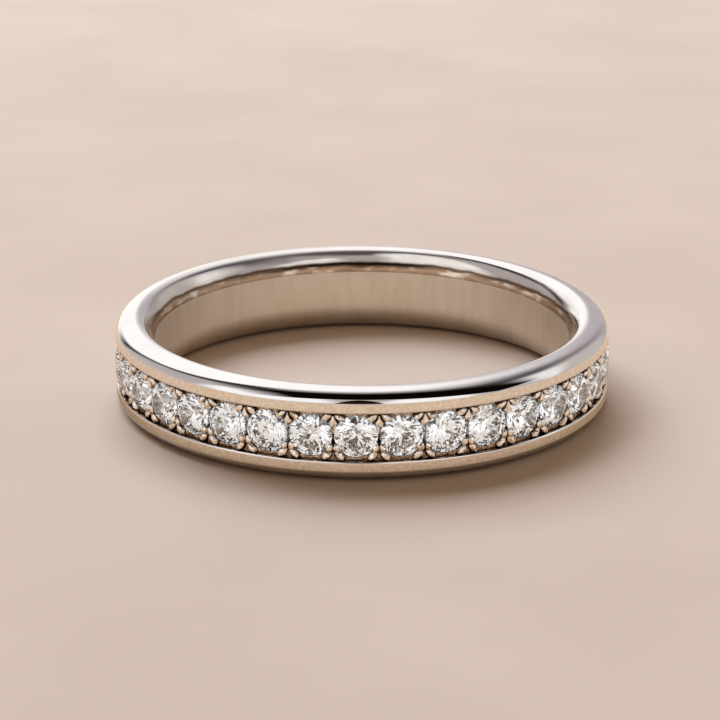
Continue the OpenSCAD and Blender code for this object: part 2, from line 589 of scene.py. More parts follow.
def wheel_lines(tree, place):
    """A noise pattern of fine lines that run round the band."""
    x, y, z = add_node(tree, "ShaderNodeSeparateXYZ", {"Vector": place}).outputs
    from_centre = add_node(tree, "ShaderNodeVectorMath", {0: place}, operation="LENGTH")
    angle = add_node(tree, "ShaderNodeMath", {0: y, 1: x}, operation="ARCTAN2")
    unrolled = {"X": angle, "Y": z, "Z": from_centre.outputs["Value"]}
    lines_place = add_node(tree, "ShaderNodeCombineXYZ", unrolled)
    fine = 1 / (WHEEL_LINE_MM * MM)
    stretched = {"Vector": lines_place, "Scale": (LINES_PER_RADIAN, fine, fine)}
    lines_place = add_node(tree, "ShaderNodeMapping", stretched)
    return add_node(tree, "ShaderNodeTexNoise", {"Vector": lines_place, "Scale": 1.0, "Detail": 3.0})


print("wheel lines:", round(band_w / MM / WHEEL_LINE_MM), "across the band")

# %% [markdown]
# Every turned part of the band has the same kind of surface, with other amounts: a tint and a
# gloss that vary in a wide grain, soft dents that the polish left, and the wheel's lines.

# %% A polished metal
LINE_HEIGHT_MM = 0.002
DENT_HEIGHT_MM = 0.02


def metal_surface(tree, tints, rough, bump):
    """Ends a metal's tree with its shader and the material's output."""
    surface = {"Base Color": tints, "Metallic": 1.0, "Roughness": rough, "Normal": bump}
    shader = add_node(tree, "ShaderNodeBsdfPrincipled", surface)
    add_node(tree, "ShaderNodeOutputMaterial", {"Surface": shader})


def polished_metal(name, tint, gloss, line_bump, dent_mm, dent_bump, grain_mm):
    """A finish whose tint and gloss vary in a grain so wide round the band, and so high on it."""
    material, tree, place = new_material(name)
    lines = wheel_lines(tree, place)
    wide, high = (1 / (size * MM) for size in grain_mm)
    grain_place = add_node(tree, "ShaderNodeMapping", {"Vector": place, "Scale": (wide, wide, high)})
    grain_look = {"Vector": grain_place, "Scale": 1.0, "Detail": 4.0, "Roughness": 0.6}
    grain = add_node(tree, "ShaderNodeTexNoise", grain_look)
    tints = add_node(tree, "ShaderNodeValToRGB", {"Fac": grain}, stops=((0.3, tint[0]), (0.7, tint[1])))
    mixed = add_node(tree, "ShaderNodeMath", {0: grain, 1: lines}, operation="MULTIPLY")
    # Two noises multiplied lie between about 0.1 and 0.4
    rough = add_node(
        tree,
        "ShaderNodeMapRange",
        {"Value": mixed, "From Min": 0.1, "From Max": 0.4, "To Min": gloss[0], "To Max": gloss[1]},
    )

    dents_look = {"Vector": place, "Scale": 1 / (dent_mm * MM), "Detail": 1.0}
    dents = add_node(tree, "ShaderNodeTexNoise", dents_look)
    dented = {"Height": dents, "Strength": dent_bump, "Distance": DENT_HEIGHT_MM * MM}
    wave = add_node(tree, "ShaderNodeBump", dented)
    lined = {"Height": lines, "Strength": line_bump, "Distance": LINE_HEIGHT_MM * MM, "Normal": wave}
    metal_surface(tree, tints, rough, add_node(tree, "ShaderNodeBump", lined))
    return material


# %% [markdown]
# The rims are polished to a mirror. The rails keep a satin look, since the wheel only
# brushes their narrow faces. The bore is buffed, which leaves a soft, warm gloss, and the
# shoulder is polished by hand, so it waves a little more than the rims.

# %% The turned finishes of the band
mirror = polished_metal(
    "rhodium plate, mirror polished",
    tint=("dedcdb", "e6e4e3"),
    gloss=(0.02, 0.05),
    line_bump=0.05,
    dent_mm=3.0,
    dent_bump=0.1,
    grain_mm=(1.5, 1.5),
)
satin = polished_metal(
    "rhodium plate, satin rails",
    tint=("d2cbc4", "eeebe8"),
    gloss=(0.14, 0.24),
    line_bump=0.9,
    dent_mm=0.25,
    dent_bump=0.25,
    grain_mm=(0.16, 0.12),
)
bore = polished_metal(
    "rhodium plate, buffed bore",
    tint=("d8cec3", "e2dad1"),
    gloss=(0.46, 0.50),
    line_bump=0.3,
    dent_mm=2.0,
    dent_bump=0.2,
    grain_mm=(0.5, 2.5),
)
shoulder = polished_metal(
    "rhodium plate, hand polished shoulder",
    tint=("d0c8c2", "dedad6"),
    gloss=(0.05, 0.1),
    line_bump=0.1,
    dent_mm=0.7,
    dent_bump=0.35,
    grain_mm=(1.5, 1.5),
)
print("metals:", ", ".join(finish.name for finish in (mirror, satin, bore, shoulder)))

# %% [markdown]
# Where the shoulder meets the bore, a ragged dark line round the ring is painted on as a
# painted reflection of the dark, with a brownish strip under it and bright glints that are
# painted highlights. A ramp over the distance from the axis gives the strip and the line, and
# a noise pattern added to that distance makes the line wander as on the real ring.

# %% Tints of the painted reflections at the shoulder's foot
FOOT_W = 0.24 * MM
WANDER_MM = 1.1
# How far the line wanders to each side, as a share of the foot's width
WANDER = 0.2
WANDER_BUMP_MM = 0.02
GLINT_LONG_MM = 0.9
GLINT_HIGH_MM = 0.3
# Painted reflections from the bore's edge over the brown strip and the dark line to the polished shoulder
FOOT_PAINTED_REFLECTION_TINTS = (
    (0.0, "ccb49c"),
    (0.12, "a48a74"),
    (0.30, "c4aa94"),
    (0.44, "a08873"),
    (0.57, "705a47"),
    (0.65, "5a4838"),
    (0.84, "cfc8c3"),
)
print("foot of the shoulder:", round(FOOT_W / MM, 2), "mm wide,", len(FOOT_PAINTED_REFLECTION_TINTS), "tints")

# %% [markdown]
# The painted glints are a noise pattern that is long round the ring and low across it. Its
# peaks are mixed over the tints as painted highlights, but only on the strip. The metal also
# grows smoother from the bore to the shoulder.


# %% Painted dark line and glints at the foot of the shoulder
def axis_distance(tree, place):
    """How far a place is from the finger's axis."""
    flat = add_node(tree, "ShaderNodeVectorMath", {0: place, 1: (1.0, 1.0, 0.0)}, operation="MULTIPLY")
    return add_node(tree, "ShaderNodeVectorMath", {0: flat}, operation="LENGTH").outputs["Value"]


def painted_foot_reflections(name):
    material, tree, place = new_material(name)
    foot_range = {"Value": axis_distance(tree, place), "From Min": bore_r, "From Max": bore_r + FOOT_W}
    share = add_node(tree, "ShaderNodeMapRange", foot_range)
    waves_look = {"Vector": place, "Scale": 1 / (WANDER_MM * MM), "Detail": 2.0}
    waves = add_node(tree, "ShaderNodeTexNoise", waves_look)
    wander = add_node(tree, "ShaderNodeMapRange", {"Value": waves, "To Min": -WANDER, "To Max": WANDER})
    line = add_node(tree, "ShaderNodeMath", {0: share, 1: wander}, operation="ADD")
    tints = add_node(tree, "ShaderNodeValToRGB", {"Fac": line}, stops=FOOT_PAINTED_REFLECTION_TINTS)

    # Painted glints lie only on the strip, which ends under the dark line and over the bore's edge
    glint_long, glint_high = 1 / (GLINT_LONG_MM * MM), 1 / (GLINT_HIGH_MM * MM)
    long_scale = {"Vector": place, "Scale": (glint_long, glint_long, glint_high)}
    long_place = add_node(tree, "ShaderNodeMapping", long_scale)
    glint_noise = add_node(tree, "ShaderNodeTexNoise", {"Vector": long_place, "Scale": 1.0, "Detail": 1.0})
    glint_peaks = add_node(tree, "ShaderNodeMapRange", {"Value": glint_noise, "From Min": 0.52, "From Max": 0.72})
    under_line = add_node(tree, "ShaderNodeMapRange", {"Value": line, "From Min": 0.52, "From Max": 0.42})
    over_bore = add_node(tree, "ShaderNodeMapRange", {"Value": line, "From Min": 0.12, "From Max": 0.22})
    strip = add_node(tree, "ShaderNodeMath", {0: under_line, 1: over_bore}, operation="MULTIPLY")
    amount = add_node(tree, "ShaderNodeMath", {0: strip, 1: glint_peaks}, operation="MULTIPLY")
    # Painted highlights: the glints are mixed over the tints in a cream white
    glinted = {"Factor": amount, 6: tints, 7: colour("fff6ea")}
    tints = add_node(tree, "ShaderNodeMix", glinted, data_type="RGBA").outputs[2]

    smoother = {"Value": share, "From Max": 0.6, "To Min": 0.42, "To Max": 0.15}
    rough = add_node(tree, "ShaderNodeMapRange", smoother)
    waved = {"Height": waves, "Strength": 0.8, "Distance": WANDER_BUMP_MM * MM}
    metal_surface(tree, tints, rough, add_node(tree, "ShaderNodeBump", waved))
    return material


foot = painted_foot_reflections("rhodium plate, painted reflections at the shoulder's foot")
print(foot.name + ":", len(foot.node_tree.nodes), "nodes")

# %% [markdown]
# Inside the channel the metal was cut with gravers and can't be reached by the wheels, so it
# keeps its tool marks. Its colour is painted darker towards the floor of the channel, as
# painted shade in the recess. An Ambient Occlusion node finds the narrow places between the
# beads and the stones without any of them being marked by hand, and paints shade there. A last
# brown strip of painted shade lies along the foot of each rail.

# %% Tints of the cut metal
# The grain is wider than a real graver's marks, so that it shows in the render
CUT_GRAIN_MM = 0.16
# Metal with something nearer than this before it is in a crevice
CREVICE_MM = 0.26
CUT_GRAIN_AND_DEPTH_SHADE_TINTS = ((0.1, "7a6450"), (0.45, "b8a48f"), (0.66, "eee6dc"), (0.85, "ffffff"))
CREVICE_SHADE_TINTS = ((0.2, "4e3a2b"), (0.5, "9a836e"), (0.8, "ffffff"))
RAIL_FOOT_SHADE_TINT = "7c6552"
# The painted shade along the rail's foot starts and is whole this far from the rail, and this deep under
# its face
RAIL_SHADE_FROM_RAIL_MM = (0.12, 0.04)
RAIL_SHADE_DEPTH_MM = (0.06, 0.16)


def cut_tints(tree, place, grain):
    """The cut metal's colour: painted shade by depth, a random grain, painted shade in crevices and along
    the rails.
    """
    radius = axis_distance(tree, place)
    from_floor = {"Value": radius, "From Min": floor_r, "From Max": outer_r}
    # Painted shade: deeper metal is darker and the tops of the beads lighter, and the grain adds random
    # tone
    height = add_node(tree, "ShaderNodeMapRange", from_floor | {"To Min": -0.35, "To Max": 0.2})
    shade = add_node(tree, "ShaderNodeMath", {0: grain, 1: 1.2, 2: height}, operation="MULTIPLY_ADD")
    tints = add_node(tree, "ShaderNodeValToRGB", {"Fac": shade}, stops=CUT_GRAIN_AND_DEPTH_SHADE_TINTS)
    # Painted shade: an Ambient Occlusion node darkens the crevices between the beads and the stones
    crevice = add_node(tree, "ShaderNodeAmbientOcclusion", {"Distance": CREVICE_MM * MM}, samples=6)
    painted_crevice_shade = add_node(tree, "ShaderNodeValToRGB", {"Fac": crevice.outputs["AO"]}, stops=CREVICE_SHADE_TINTS)
    crevice_shaded = {"Factor": 1.0, 6: tints, 7: painted_crevice_shade}
    tints = add_node(tree, "ShaderNodeMix", crevice_shaded, data_type="RGBA", blend_type="MULTIPLY").outputs[2]

    # A brown strip of painted shade along the foot of each rail
    z = add_node(tree, "ShaderNodeSeparateXYZ", {"Vector": place}).outputs["Z"]
    above = add_node(tree, "ShaderNodeMath", {0: z, 1: mid_z}, operation="SUBTRACT")
    from_middle = add_node(tree, "ShaderNodeMath", {0: above}, operation="ABSOLUTE")
    starts, whole = (half_channel - far * MM for far in RAIL_SHADE_FROM_RAIL_MM)
    rail_range = {"Value": from_middle, "From Min": starts, "From Max": whole}
    by_rail = add_node(tree, "ShaderNodeMapRange", rail_range)
    starts, whole = (outer_r - deep * MM for deep in RAIL_SHADE_DEPTH_MM)
    deep = add_node(tree, "ShaderNodeMapRange", {"Value": radius, "From Min": starts, "From Max": whole})
    rail_foot_shade = add_node(tree, "ShaderNodeMath", {0: by_rail, 1: deep}, operation="MULTIPLY")
    traced = {"Factor": rail_foot_shade, 6: tints, 7: colour(RAIL_FOOT_SHADE_TINT)}
    return add_node(tree, "ShaderNodeMix", traced, data_type="RGBA").outputs[2]


# The brown trace at the channel's edge is painted shade
print("half the channel:", round(half_channel / MM, 2), "mm, with a trace of polish at its edge")

# %% [markdown]
# The graver's cuts run round the channel as fine parallel lines, so their pattern is squeezed
# across the band. The grain of the tints also dents the surface, which breaks up what it
# mirrors, as tool marks do.

# %% Graver-cut metal of the channel
GRAVER_LINE_MM = 0.045
CUT_DEPTH_MM = 0.01
GRAIN_DEPTH_MM = 0.08


def cut_metal(name):
    material, tree, place = new_material(name)
    grain_look = {"Vector": place, "Scale": 1 / (CUT_GRAIN_MM * MM), "Detail": 1.5}
    grain = add_node(tree, "ShaderNodeTexNoise", grain_look)
    across = {"Vector": place, "Scale": (1 / MM, 1 / MM, 1 / (GRAVER_LINE_MM * MM))}
    lines_place = add_node(tree, "ShaderNodeMapping", across)
    lines = add_node(tree, "ShaderNodeTexNoise", {"Vector": lines_place, "Scale": 1.0, "Detail": 2.0})
    lined = {"Height": lines, "Strength": 0.5, "Distance": CUT_DEPTH_MM * MM}
    cuts = add_node(tree, "ShaderNodeBump", lined)
    grained = {"Height": grain, "Strength": 0.8, "Distance": GRAIN_DEPTH_MM * MM, "Normal": cuts}
    bump = add_node(tree, "ShaderNodeBump", grained)
    metal_surface(tree, cut_tints(tree, place, grain), 0.08, bump)
    return material


channel = cut_metal("rhodium plate, graver cut, with painted shade")
print(channel.name + ": lines", GRAVER_LINE_MM, "mm apart")

# %% [markdown]
# The narrow groove between the ledge and the rail is painted dark as painted shade, which
# draws the thin black line along the row of stones. Two dark browns in a fine grain are
# enough for so thin a line.

# %% Painted shade in the groove
GROOVE_GRAIN_MM = 0.15
GROOVE_GRAIN_HEIGHT_MM = 0.02
GROOVE_SHADE_TINTS = ((0.35, "1c1410"), (0.75, "5a4636"))


def groove_painted_shade(name):
    material, tree, place = new_material(name)
    groove_grain_look = {"Vector": place, "Scale": 1 / (GROOVE_GRAIN_MM * MM), "Detail": 3.0}
    groove_grain = add_node(tree, "ShaderNodeTexNoise", groove_grain_look)
    # Painted shade: two dark browns for the groove
    tints = add_node(tree, "ShaderNodeValToRGB", {"Fac": groove_grain}, stops=GROOVE_SHADE_TINTS)
    groove_grain_bump = {"Height": groove_grain, "Strength": 0.4, "Distance": GROOVE_GRAIN_HEIGHT_MM * MM}
    metal_surface(tree, tints, 0.35, add_node(tree, "ShaderNodeBump", groove_grain_bump))
    return material


groove = groove_painted_shade("rhodium plate, painted shade in the groove")
print(groove.name + ": a strip", round(groove_h / MM, 2), "mm high under each rail")

# %% [markdown]
# A finish could be painted on as a mask, but each one here belongs to whole faces, so the
# faces get their materials by their place. The places follow from the section's sizes.

# %% Where each finish ends
# How far out from the axis each finish reaches, or starts
bore_limit = bore_r + 0.025 * MM
foot_limit = bore_r + FOOT_W
shoulder_limit = bore_r + sum(radius * (sine(low) - sine(high)) for low, high, radius in SHOULDER[:2])
channel_limit = culet_at_r - 0.1 * MM
groove_limit = outer_r - ledge_depth + groove_h + WELD
rail_limit = outer_r * cosine(180 / SPIN_STEPS) - NEAR
# How far from the middle of the band the groove starts, and the channel reaches
groove_half = edge_z - bright_cut - mid_z - NEAR
channel_half = half_channel - bright_cut / 2 + WELD
# A face of a seat has its centre within this share of the seat's radius
SEAT_SHARE = 0.96
limits = (bore_limit, foot_limit, shoulder_limit)
print("bore, foot and shoulder end", [round((limit - bore_r) / MM, 3) for limit in limits], "mm out")

# %% [markdown]
# Satin goes on the rails, buffed metal in the bore, a hand polish on the upper shoulder with
# painted reflections on its foot, the graver's work with painted shade in the channel, painted
# shade in the groove beside the rails, and a mirror in the seats and on everything else.

# %% Give the band its finishes
finishes = (mirror, satin, bore, shoulder, channel, groove, foot)
band.data.materials.clear()
for finish in finishes:
    band.data.materials.append(finish)


def finish_at(face):
    """The finish that belongs on a face."""
    x, y, z = face.center
    centre_r = math.hypot(x, y)
    from_middle = abs(z - mid_z)
    if centre_r < bore_limit:
        return bore
    if centre_r < shoulder_limit:
        if z < mid_z:
            return bore
        return foot if centre_r < foot_limit else shoulder
    if from_middle < channel_half and centre_r > channel_limit:
        turn = (math.atan2(y, x) + math.pi / 2) % pitch
        along = centre_r * min(turn, pitch - turn)
        in_seat = centre_r < girdle_at_r and math.hypot(along, z - mid_z) < SEAT_SHARE * seat_r
        if in_seat:
            return mirror
        in_groove = from_middle > groove_half and centre_r < groove_limit
        return groove if in_groove else channel
    on_rail = centre_r > rail_limit and abs(face.normal.z) < 0.1
    return satin if on_rail else mirror


for face in band.data.polygons:
    face.material_index = finishes.index(finish_at(face))
for k, finish in enumerate(finishes):
    print(sum(face.material_index == k for face in band.data.polygons), "faces of", finish.name)

# %% [markdown]
# Cubic zirconia is a colourless crystal with a refractive index of about 2.16, far above
# glass, so most light that enters the crown is thrown back by the pavilion. The facets are
# polished flat, with only faint polishing traces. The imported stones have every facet
# already, so their shape stays as it is and only their material is changed.

# %% Cubic zirconia
ZIRCONIA_IOR = 2.16
POLISH_TRACE_MM = 0.3
CRYSTAL_TINTS = ((0.3, "fdfcfb"), (0.7, "f6f8fb"))


def zirconia(name):
    material, tree, place = new_material(name)
    traces_look = {"Vector": place, "Scale": 1 / (POLISH_TRACE_MM * MM), "Detail": 2.0}
    traces = add_node(tree, "ShaderNodeTexNoise", traces_look)
    traced = {"Value": traces, "From Min": 0.55, "From Max": 0.8, "To Min": 0.0, "To Max": 0.02}
    rough = add_node(tree, "ShaderNodeMapRange", traced)
    tints = add_node(tree, "ShaderNodeValToRGB", {"Fac": traces}, stops=CRYSTAL_TINTS)
    clear = {"Base Color": tints, "Roughness": rough, "IOR": ZIRCONIA_IOR, "Transmission Weight": 1.0}
    shader = add_node(tree, "ShaderNodeBsdfPrincipled", clear)
    add_node(tree, "ShaderNodeOutputMaterial", {"Surface": shader})
    return material


crystal = zirconia("cubic zirconia, faceted and polished")
stones = [nodes[name] for name in sorted(nodes) if name.startswith("stone_")]
for stone in stones:
    stone.data.materials.clear()
    stone.data.materials.append(crystal)
print(len(stones), "stones of", crystal.name)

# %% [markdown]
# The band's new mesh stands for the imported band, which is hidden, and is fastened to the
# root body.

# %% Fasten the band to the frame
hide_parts("band")
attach(band, "root")
print(band.name, "and", len(stones), "stones are fastened")

# %% [markdown]
# The floor is a plain pale board in warm champagne, so that the polished rails mirror the same
# tone as in the photograph. A plane is enough, because the ring only needs something level and
# matte to lie on. Light inside the stones doesn't meet it, since they have a room of their own.

# %% Floor
FLOOR_SIZE = 3.0
MOTTLE_MM = 12
BOARD_TINTS = ((0.35, "d5c5b7"), (0.65, "dbcbbd"))
start_clean()
bpy.ops.mesh.primitive_plane_add(size=FLOOR_SIZE, location=(0, 0, 0))
floor = bpy.context.object
floor.name = "floor"
board, tree, place = new_material("matte champagne board")
mottle_look = {"Vector": place, "Scale": 1 / (MOTTLE_MM * MM), "Detail": 2.0}
mottle = add_node(tree, "ShaderNodeTexNoise", mottle_look)
tone = add_node(tree, "ShaderNodeValToRGB", {"Fac": mottle}, stops=BOARD_TINTS)
dull = {"Base Color": tone, "Roughness": 0.9, "Specular IOR Level": 0.2}
matte = add_node(tree, "ShaderNodeBsdfPrincipled", dull)
add_node(tree, "ShaderNodeOutputMaterial", {"Surface": matte})
floor.data.materials.append(board)
floor.visible_transmission = False
floor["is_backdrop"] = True
print("floor", [round(x, 1) for x in floor.dimensions], "m")

# %% [markdown]
# A polished ring is a picture of the room around it, and photographers light the metal, the
# stones and the ground in turn and join the exposures. So three rooms are drawn, and a Light
# Path node picks one by the kind of ray. Each room is a base colour with soft-edged patches in
# two measures of a direction: how far it points to the right, and its angle over the head,
# from 0 at the front horizon to 180 at the back one. Lamps and cards could light the ring too,
# but patches in the sky are mirrored without noise and are easy to move.

# %% Measures of a direction
world = bpy.data.worlds.new("photo studio")
bpy.context.scene.world = world
world.use_nodes = True
world.cycles.sampling_method = "NONE"
sky = world.node_tree
sky.nodes.clear()
direction = add_node(sky, "ShaderNodeTexCoord").outputs["Generated"]
to_right, to_back, upwards = add_node(sky, "ShaderNodeSeparateXYZ", {"Vector": direction}).outputs
to_front = add_node(sky, "ShaderNodeMath", {0: to_back, 1: -1.0}, operation="MULTIPLY")
raised = add_node(sky, "ShaderNodeMath", {0: upwards, 1: to_front}, operation="ARCTAN2")
over_head = add_node(sky, "ShaderNodeMath", {0: raised, 1: 180 / math.pi}, operation="MULTIPLY")
print(world.name + ":", len(sky.nodes), "nodes measure a direction")

# %% [markdown]
# A patch is a rounded shape, between an ellipse and a rectangle: how far a direction is from
# its centre, as a share of its half size, is raised to a power, and a higher power makes it
# squarer. Patches are mixed one over another, as sheets of paper are laid.


# %% Patches of light and dark
def patch(centre, half_size, edge, squareness, bend):
    """1 inside a rounded patch, 0 outside it, with a soft edge. A bend lifts its two ends."""
    across = add_node(sky, "ShaderNodeMath", {0: to_right, 1: centre[0]}, operation="SUBTRACT")
    squared = add_node(sky, "ShaderNodeMath", {0: across, 1: across}, operation="MULTIPLY")
    arch = add_node(sky, "ShaderNodeMath", {0: squared, 1: bend}, operation="MULTIPLY")
    along = add_node(sky, "ShaderNodeMath", {0: over_head, 1: centre[1]}, operation="SUBTRACT")
    along = add_node(sky, "ShaderNodeMath", {0: along, 1: arch}, operation="SUBTRACT")
    powers = []
    for distance, half in zip((across, along), half_size):
        share = add_node(sky, "ShaderNodeMath", {0: distance, 1: half}, operation="DIVIDE")
        size = add_node(sky, "ShaderNodeMath", {0: share}, operation="ABSOLUTE")
        powers.append(add_node(sky, "ShaderNodeMath", {0: size, 1: squareness}, operation="POWER"))
    total = add_node(sky, "ShaderNodeMath", {0: powers[0], 1: powers[1]}, operation="ADD")
    far = add_node(sky, "ShaderNodeMath", {0: total, 1: 1 / squareness}, operation="POWER")
    soft = {"Value": far, "From Min": 1 - edge, "From Max": 1 + edge, "To Min": 1.0, "To Max": 0.0}
    return add_node(sky, "ShaderNodeMapRange", soft, interpolation_type="SMOOTHSTEP")


def light_colour(code, strength):
    """A colour that can be brighter than white."""
    return tuple(part * strength for part in colour(code)[:3]) + (1.0,)


def draw_room(base, patches):
    """Lays the patches over the base colour, the first one lowest."""
    light = base
    for name, centre, half_size, edge, squareness, bend, code, strength in patches:
        amount = patch(centre, half_size, edge, squareness, bend)
        laid = {"Factor": amount, 6: light, 7: light_colour(code, strength)}
        light = add_node(sky, "ShaderNodeMix", laid, data_type="RGBA", label=name).outputs[2]
    return add_node(sky, "ShaderNodeBackground", {"Color": light, "Strength": 1.0})


# %% [markdown]
# The metal mirrors a pale ceiling with a white softbox high on the back left, in a dark frame,
# with a soft glow beside it and a bright window behind. White screens stand in front, low and
# warm walls close the room, and a grey strip of ceiling over the screens bends up at its ends.
# A grey wall on the right and one small dark stand in front draw the darker tones.

# %% Room for the metal
# Name, centre, half size, softness of the edge, squareness, bend, colour and strength
METAL_ROOM = (
    ("ceiling", (0.0, 100.0), (0.93, 88.0), 0.06, 2.5, 0.0, "b0a9ab", 1.3),
    ("right wall", (0.56, 122.0), (0.20, 50.0), 0.6, 2.0, 0.0, "564f54", 1.3),
    ("grey strip", (0.0, 78.0), (0.52, 16.0), 0.5, 2.0, 75.0, "625a58", 1.0),
    ("right glow", (0.82, 126.0), (0.20, 36.0), 0.5, 2.0, 0.0, "f4f0ee", 1.2),
    ("frame", (-0.48, 139.0), (0.27, 40.0), 0.12, 3.0, 0.0, "453f40", 1.0),
    ("glow", (-0.06, 129.0), (0.26, 25.0), 0.6, 2.0, 0.0, "fffcfa", 1.3),
    ("softbox", (-0.34, 139.0), (0.34, 29.0), 0.12, 3.0, 0.0, "fffcfa", 1.3),
    ("back window", (-0.29, 176.0), (0.27, 22.0), 0.5, 3.0, 0.0, "fffcfa", 1.25),
    ("left screen", (-0.50, 56.0), (0.40, 25.0), 0.22, 3.0, 0.0, "fffcfa", 1.25),
    ("right screen", (0.42, 43.0), (0.31, 13.5), 0.22, 3.0, 0.0, "fffcfa", 1.25),
    ("middle screen", (0.0, 51.0), (0.20, 11.0), 0.45, 3.0, 0.0, "c4bcb8", 1.0),
    ("front wall", (0.0, 4.0), (0.95, 20.0), 0.3, 4.0, 0.0, "f6e2d0", 1.0),
    ("dark stand", (0.02, 18.0), (0.12, 6.0), 0.4, 3.0, 0.0, "5a4c42", 1.0),
    ("right low wall", (0.80, 158.0), (0.32, 30.0), 0.4, 3.0, 0.0, "d2cbc6", 1.0),
)
metal_room = draw_room(light_colour("c4bab2", 1.2), METAL_ROOM)
print("the metal's room:", ", ".join(row[0] for row in METAL_ROOM))

# %% [markdown]
# Cut stones look white only where they find white light, so their room is nearly all white,
# also below the horizon, as if a white card lay in front of them. A black strip of ceiling and
# a few dark gaps between the white panels draw the black flashes, and warm cards low down the
# peach ones.

# %% Room for the stones
STONE_ROOM = (
    ("left side", (-0.95, 90.0), (0.45, 150.0), 0.2, 3.0, 0.0, "ffffff", 1.25),
    ("right side", (0.95, 90.0), (0.45, 150.0), 0.2, 3.0, 0.0, "ffffff", 1.35),
    ("cool wall", (0.42, 120.0), (0.22, 50.0), 0.3, 2.0, 0.0, "c8ccd6", 1.0),
    ("softbox", (-0.30, 130.0), (0.36, 30.0), 0.08, 3.0, 0.0, "ffffff", 1.35),
    ("left screen", (-0.45, 44.0), (0.26, 12.0), 0.08, 3.0, 0.0, "ffffff", 1.25),
    ("right screen", (0.40, 38.0), (0.22, 13.0), 0.08, 3.0, 0.0, "ffffff", 1.25),
    ("low grey left", (-0.12, -20.0), (0.16, 9.0), 0.15, 3.0, 0.0, "8f8987", 1.0),
    ("low white", (0.14, -40.0), (0.28, 13.0), 0.1, 3.0, 0.0, "ffffff", 1.2),
    ("black strip", (0.0, 76.0), (0.6, 6.0), 0.3, 2.0, 60.0, "0d0b0a", 1.0),
    ("warm card left", (-0.42, -24.0), (0.18, 10.0), 0.15, 3.0, 0.0, "dcbfa2", 1.0),
    ("warm card right", (0.42, -26.0), (0.16, 9.0), 0.15, 3.0, 0.0, "dcbfa2", 1.0),
    ("gap 1", (-0.68, 22.0), (0.06, 13.0), 0.15, 3.0, 0.0, "0d0b0a", 1.0),
    ("gap 2", (0.62, 14.0), (0.06, 13.0), 0.15, 3.0, 0.0, "0d0b0a", 1.0),
    ("gap 3", (0.12, -6.0), (0.28, 3.0), 0.2, 3.0, 0.0, "14100d", 1.0),
    ("gap 4", (-0.22, -44.0), (0.05, 13.0), 0.2, 3.0, 0.0, "14100d", 1.0),
    ("gap 5", (0.28, 112.0), (0.06, 13.0), 0.2, 3.0, 0.0, "1a1614", 1.0),
)
stone_room = draw_room(light_colour("ece8e4", 1.04), STONE_ROOM)
print("the stones' room:", ", ".join(row[0] for row in STONE_ROOM))

# %% [markdown]
# The ground gets a soft warm light from above and behind, so that the front of the ring stands
# in its own shade. The camera itself sees a plain pale backdrop.

# %% Room for the ground, and the choice between the rooms
GROUND_ROOM = (("warm ceiling", (0.0, 122.0), (1.1, 66.0), 0.5, 2.0, 0.0, "ffdab2", 0.40),)
ground_room = draw_room(light_colour("8a6f58", 0.12), GROUND_ROOM)
backdrop = add_node(sky, "ShaderNodeBackground", {"Color": colour("e3d6ca"), "Strength": 1.0})
ray = add_node(sky, "ShaderNodeLightPath")
shown = ground_room
for kind, room in (
    ("Is Glossy Ray", metal_room),
    ("Is Transmission Ray", stone_room),
    ("Is Camera Ray", backdrop),
):
    shown = add_node(sky, "ShaderNodeMixShader", {0: ray.outputs[kind], 1: shown, 2: room})
add_node(sky, "ShaderNodeOutputWorld", {"Surface": shown})
print("rooms of", len(METAL_ROOM), len(STONE_ROOM), "and", len(GROUND_ROOM), "patches")

# %% [markdown]
# Three stage pieces work for the metal alone, so only reflections show them. The first is a
# black flag over the front of the ring. The near rim mirrors it as its black band, and the far
# shoulder, from further away, as a thin black line. Its back edge and its left end thin out,
# as with torn gauze. A patch in the sky couldn't do both, because the sky is so far away that
# the near and the far rim mirror it alike.

# %% Black flag
FLAG_OVER = 12 * MM
FLAG_LEFT, FLAG_RIGHT = -18 * MM, 28 * MM
FLAG_FRONT, FLAG_BACK = -17.8 * MM, -4 * MM
FLAG_SOLID_TO = -8.8 * MM
FLAG_THIN_FROM = -8 * MM


def seen_only_by(piece, ray_kind, material):
    """Gives a stage piece its material, and hides it from every kind of ray but one."""
    piece.data.materials.append(material)
    for kind in ("camera", "diffuse", "glossy", "transmission", "shadow"):
        setattr(piece, "visible_" + kind, kind == ray_kind)
    piece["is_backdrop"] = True


start_clean()
flag_at = ((FLAG_LEFT + FLAG_RIGHT) / 2, (FLAG_FRONT + FLAG_BACK) / 2, band_w + FLAG_OVER)
bpy.ops.mesh.primitive_plane_add(size=1, location=flag_at)
flag = bpy.context.object
flag.name = "black_flag"
flag.scale = (FLAG_RIGHT - FLAG_LEFT, FLAG_BACK - FLAG_FRONT, 1)
apply_place(flag)
gauze, tree, place = new_material("black gauze")
x, y, z = add_node(tree, "ShaderNodeSeparateXYZ", {"Vector": place}).outputs
thin_back = add_node(
    tree, "ShaderNodeMapRange", {"Value": y, "From Min": FLAG_SOLID_TO, "From Max": FLAG_BACK}
)
thin_left = add_node(
    tree, "ShaderNodeMapRange", {"Value": x, "From Min": FLAG_THIN_FROM, "From Max": FLAG_LEFT}
)
thin = add_node(tree, "ShaderNodeMath", {0: thin_back, 1: thin_left}, operation="MAXIMUM")
black = add_node(tree, "ShaderNodeBsdfDiffuse", {"Color": colour("16110e")})
clear = add_node(tree, "ShaderNodeBsdfTransparent")
both = add_node(tree, "ShaderNodeMixShader", {0: thin, 1: black, 2: clear})
add_node(tree, "ShaderNodeOutputMaterial", {"Surface": both})
seen_only_by(flag, "glossy", gauze)
print("flag", [round(x / MM) for x in flag.dimensions], "mm,", round(flag_at[2] / MM, 1), "mm up")

